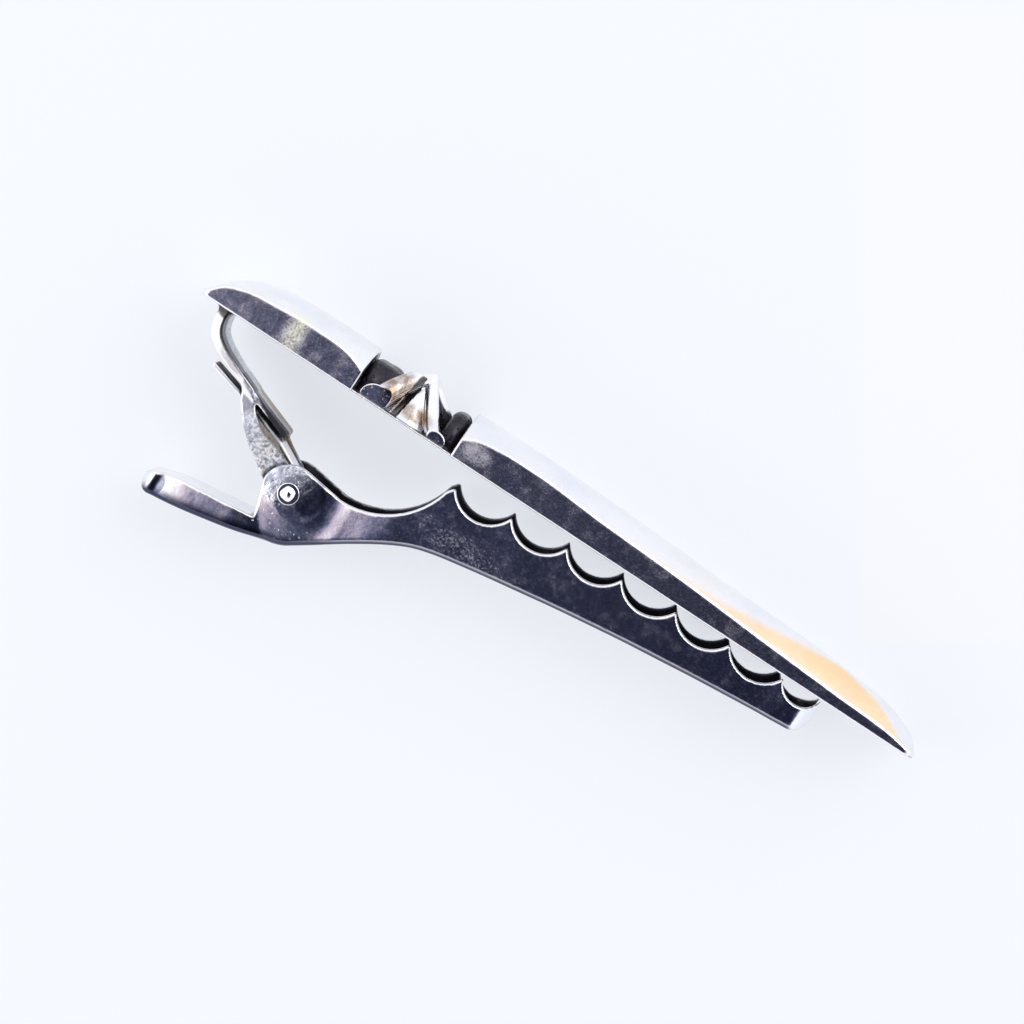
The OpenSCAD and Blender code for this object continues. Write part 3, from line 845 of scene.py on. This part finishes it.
def riser_silver():
    """Cast silver: grainy below, dark towards the throat, with painted black shade there and at the
    joint under the bar, and a painted tan reflection on the far ear.
    """
    metal = Silver("riser_silver", 0.3)
    colour = silver_base(metal, 1.2)
    lower = metal.near((PIVOT[0] - 2.6, PIVOT[1] + 1.6, MID_Z), (3.2, 2.9, 9), 0.3)
    cast = metal.fit(metal.noise(3.4, 6, rough=0.7), 0.4, 0.62)
    colour = metal.mix(metal.times(metal.times(cast, lower), 0.75), colour, DARK_BLUE_GREY)
    metal.raised(metal.times(lower, cast), 0.04)
    metal.rougher(lower, 0.15)
    metal.raised(metal.pits(1.7, 0.16), -0.04)
    throat = metal.stored("throat_side")
    colour = metal.mix(metal.times(throat, metal.fit(metal.noise(4, 5), 0.3, 0.7, 0.8, 0.3)),
                       colour, SLATE)
    # Painted black shade on the near half of the throat side.
    colour = metal.mix(metal.times(metal.stored("seam"), 0.95), colour, OXIDE_AND_SHADE)
    # A painted tan reflection on the inside of the far ear.
    far_ear_reflection = metal.near((8.6, -5.6, MID_Z - EARS_HALF), (3.6, 2.4, 1.4), 0.2)
    colour = metal.mix(metal.times(far_ear_reflection, 0.8), colour, REFLECTED_TAN)
    # Painted black shade at the joint under the bar's edge.
    shade_under_bar = metal.near((RISER_X, -0.3, MID_Z + RISER_W / 2), (1.1, 0.6, 2.6), 0.3)
    colour = metal.mix(metal.times(shade_under_bar, 0.93), colour, OXIDE_AND_SHADE)
    return metal.finish(colour)


def spring_steel():
    """Brushed steel with its grain along the strip."""
    metal = Silver("spring_steel", 0.4)
    colour = silver_base(metal, 0.6)
    metal.raised(metal.noise(5, 2, (0.1, 1, 1)), 0.01)
    return metal.finish(colour)


def jaw_silver():
    """Polished silver: pitted and hazy at the ear, cast grain near the teeth, painted reflections
    at the ear and lower edges and painted shade by the rivet and in the channel.
    """
    metal = Silver("jaw_silver", 0.12)
    colour = silver_base(metal, 0.7)
    ear = metal.near((PIVOT[0] + 1.5, PIVOT[1] - 2.6, MID_Z), (3.6, 0.8, 9), 0.5)
    pits = metal.times(ear, metal.pits(2.9, 0.22))
    metal.raised(pits, -0.03)
    colour = metal.mix(metal.times(pits, 0.85), colour, OXIDE_AND_SHADE)
    # Around the ear: rougher and raised, with a painted pale blue reflection.
    around = metal.near((PIVOT[0] - 0.7, PIVOT[1] + 0.8, BAR_W - 1), (2.1, 1.9, 2), 0.3)
    haze_and_reflection = metal.times(around, metal.fit(metal.noise(1.6, 5), 0.35, 0.6, 0.3, 1.0))
    colour = metal.mix(metal.times(haze_and_reflection, 0.8), colour, PALE_BLUE_REFLECTION)
    metal.rougher(haze_and_reflection, 0.22)
    metal.raised(haze_and_reflection, 0.04)
    # Painted dark shade beside the rivet.
    shade_by_rivet = metal.near((PIVOT[0] + 1.5, PIVOT[1] + 0.6, MID_Z + JAW_EAR_HALF), (1.1, 1.4, 1.2),
                        0.15)
    colour = metal.mix(metal.times(shade_by_rivet, 0.75), colour, SHADE_GREY)
    # A darker grey band across the tab.
    darker_on_tab = metal.near((4.5, -13.75, MID_Z + 1.4), (0.5, 0.8, 3), 0.15)
    colour = metal.mix(metal.times(darker_on_tab, 0.8), colour, DARK_BLUE_GREY)
    cast = metal.near((PIVOT[0] + 12.8, PIVOT[1] + 3.6, MID_Z), (4.2, 1.0, 9), 0.7)
    speckle = metal.times(cast, metal.fit(metal.noise(6, 6), 0.4, 0.7))
    metal.rougher(speckle, 0.16)
    metal.raised(speckle, 0.0015)
    # A painted dark navy reflection along the lower edges.
    under = metal.stored("under")
    colour = metal.mix(metal.times(under, 0.98), colour, NAVY_REFLECTION)
    # Painted black shade inside the channel.
    inside = metal.stored("inside")
    colour = metal.mix(metal.times(inside, 0.97), colour, OXIDE_AND_SHADE)
    metal.rougher(inside, 0.2)
    return metal.finish(colour)


def rivet_silver():
    """Bright silver with dark hollows."""
    metal = Silver("rivet_silver", 0.08)
    return metal.finish(silver_base(metal, 0.5, 1.0))


# ------------------------------------------------------------------ pieces

def to_bar(corner):
    """A corner in metres, in the bar's frame in millimetres."""
    return np.array(corner) / MM - ORIGIN


def make(name, node, field, step, body, slot, material, spare=0.05, **marks):
    """Builds one piece around its CAD node and gives it a material and a body.

    spare is the room round the node's box that the piece may take up before it is cut off.
    """
    low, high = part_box(node)
    piece = shaped(name, field, to_bar(low) - spare, to_bar(high) + spare, step, marks)
    piece.data.materials.append(material())
    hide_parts(node)
    if body:
        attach(piece, body)
    return piece


COARSE = 1.0
make("bar_domed", "front_bar", bar, 0.14 * COARSE, "bar_frame", "bar_silver", bar_silver,
     blackened=on_boss)
make("star_domed", "star_emblem", star, 0.07 * COARSE, "bar_frame", "star_silver", star_silver,
     spare=1.2, groove=groove)
make("riser_bent", "riser_bracket", riser, 0.08 * COARSE, "bar_frame", "riser_silver", riser_silver,
     spare=0.6, seam=seam, throat_side=throat_side)
make("jaw_cast", "toothed_jaw", jaw, 0.13 * COARSE, "jaw", "jaw_silver", jaw_silver,
     inside=channel_shade, under=navy_reflection_edge)
make("rivet_hammered", "pivot_rivet", rivet, 0.045 * COARSE, "jaw", "rivet_silver", rivet_silver)

leaf = make("spring_leaf", "leaf_spring", spring, 0.08 * COARSE, None, "spring_steel", spring_steel)
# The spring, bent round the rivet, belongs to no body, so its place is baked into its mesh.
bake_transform(leaf)


# ------------------------------------------------------------------ stage

CAMERA_LEAN, CAMERA_TURN = 6.8, 33.328
CAMERA_DISTANCE = 0.2
CAMERA_AIM = (27.23, -0.88, BAR_W)
CAMERA_LENS, CAMERA_SENSOR = 98.2, 36


def add_camera():
    """The viewing angle: from above, a little towards the bar's face, with the clip turned."""
    lean = math.radians(CAMERA_LEAN)
    turn = math.radians(CAMERA_TURN)
    target = Vector(tuple((np.array(CAMERA_AIM) + ORIGIN) * MM))
    c, s = math.cos(turn), math.sin(turn)
    right = Vector((c, s * math.cos(lean), -s * math.sin(lean)))
    up = Vector((-s, c * math.cos(lean), -c * math.sin(lean)))
    back = Vector((0, math.sin(lean), math.cos(lean)))
    data = bpy.data.cameras.new("camera")
    data.lens = CAMERA_LENS
    data.sensor_width = CAMERA_SENSOR
    data.clip_start = 0.01
    camera = bpy.data.objects.new("camera", data)
    rotation = Matrix((right, up, back)).transposed().to_4x4()
    camera.matrix_world = Matrix.Translation(target + back * CAMERA_DISTANCE) @ rotation
    bpy.context.scene.collection.objects.link(camera)
    bpy.context.scene.camera = camera


def plain_material(name, colour, glow):
    """A matt paper that also glows a little by itself."""
    material = bpy.data.materials.new(name)
    material.use_nodes = True
    shader = material.node_tree.nodes["Principled BSDF"]
    shader.inputs["Base Color"].default_value = (*colour, 1)
    shader.inputs["Roughness"].default_value = 0.6
    shader.inputs["Emission Color"].default_value = (*colour, 1)
    shader.inputs["Emission Strength"].default_value = glow
    return material


def add_card(name, size, place, material, turn=0.0):
    """A flat level card; place is its middle and turn its angle in degrees."""
    x, y = size[0] / 2, size[1] / 2
    mesh = bpy.data.meshes.new(name)
    mesh.from_pydata([(-x, -y, 0), (x, -y, 0), (x, y, 0), (-x, y, 0)], [], [(0, 1, 2, 3)])
    mesh.materials.append(material)
    card = bpy.data.objects.new(name, mesh)
    card.location = place
    card.rotation_euler.z = math.radians(turn)
    bpy.context.scene.collection.objects.link(card)
    return card


def add_floor():
    """A pale floor that glows nearly like a light table, so that shadows stay faint."""
    paper = plain_material("floor_paper", (0.3, 0.31, 0.325), glow=1.98)
    add_card("floor", (4, 4), (0, 0, 0), paper)


def add_glow_card():
    """A warm card beyond the bar's top face, seen only as a reflection in the long end."""
    material = plain_material("warm_card", (1.0, 0.72, 0.42), glow=0.08)
    card = add_card("warm_card", (0.046, 0.12), (0.0605, 0.062, 0.0002), material, turn=-56)
    card.visible_camera = False
    card.visible_diffuse = False
    card.visible_shadow = False


def add_lamp(name, place, size, power, colour):
    """A soft square lamp that faces the clip."""
    data = bpy.data.lights.new(name, "AREA")
    data.size = size
    data.energy = power
    data.color = colour
    lamp = bpy.data.objects.new(name, data)
    lamp.location = place
    lamp.rotation_euler = (-Vector(place)).to_track_quat("-Z", "Y").to_euler()
    bpy.context.scene.collection.objects.link(lamp)


DARK_SIDE = Vector((0.26, -0.13, 0.955)).normalized() * 0.95
DARK_SWING, DARK_BLOTCHES = 0.1, 2.6
SURROUND_STRENGTH = 1.12
# Colour of the surround, from the side away from the dark one to its middle.
SURROUND_STOPS = [(0.0, (0.92, 0.94, 1.0)), (0.6, (1.0, 1.0, 1.0)), (0.78, (1.0, 0.97, 1.0)),
                  (0.845, (0.6, 0.48, 0.58)), (0.885, (0.16, 0.17, 0.28)),
                  (0.92, (0.045, 0.055, 0.11)), (0.95, (0.016, 0.02, 0.045)),
                  (1.0, (0.008, 0.01, 0.026))]


def add_surround():
    """A studio all round: dark above, where the clip's sides look, and pale lower down."""
    world = bpy.data.worlds.new("surround")
    world.use_nodes = True
    bpy.context.scene.world = world
    nodes, links = world.node_tree.nodes, world.node_tree.links
    place = nodes.new("ShaderNodeTexCoord")
    toward = nodes.new("ShaderNodeVectorMath")
    toward.operation = "DOT_PRODUCT"
    toward.inputs[1].default_value = DARK_SIDE
    links.new(place.outputs["Generated"], toward.inputs[0])
    blotch = nodes.new("ShaderNodeTexNoise")
    blotch.inputs["Scale"].default_value = DARK_BLOTCHES
    links.new(place.outputs["Generated"], blotch.inputs["Vector"])
    swing = nodes.new("ShaderNodeMath")
    swing.operation = "MULTIPLY_ADD"
    swing.inputs[1].default_value = DARK_SWING
    links.new(blotch.outputs["Fac"], swing.inputs[0])
    links.new(toward.outputs["Value"], swing.inputs[2])
    ramp = nodes.new("ShaderNodeValToRGB")
    links.new(swing.outputs[0], ramp.inputs[0])
    ends = SURROUND_STOPS[0], SURROUND_STOPS[-1]
    for element, (position, colour) in zip(ramp.color_ramp.elements, ends):
        element.position = position
        element.color = (*colour, 1)
    for position, colour in SURROUND_STOPS[1:-1]:
        ramp.color_ramp.elements.new(position).color = (*colour, 1)
    links.new(ramp.outputs["Color"], nodes["Background"].inputs["Color"])
    nodes["Background"].inputs["Strength"].default_value = SURROUND_STRENGTH


add_camera()
add_floor()
add_glow_card()
add_surround()
add_lamp("key", (0.25, 0.45, 0.4), size=0.5, power=1.3, colour=(1.0, 0.99, 0.97))
add_lamp("fill", (-0.4, -0.2, 0.35), size=0.4, power=0.6, colour=(0.9, 0.94, 1.0))
bpy.context.scene.view_settings.view_transform = "Standard"
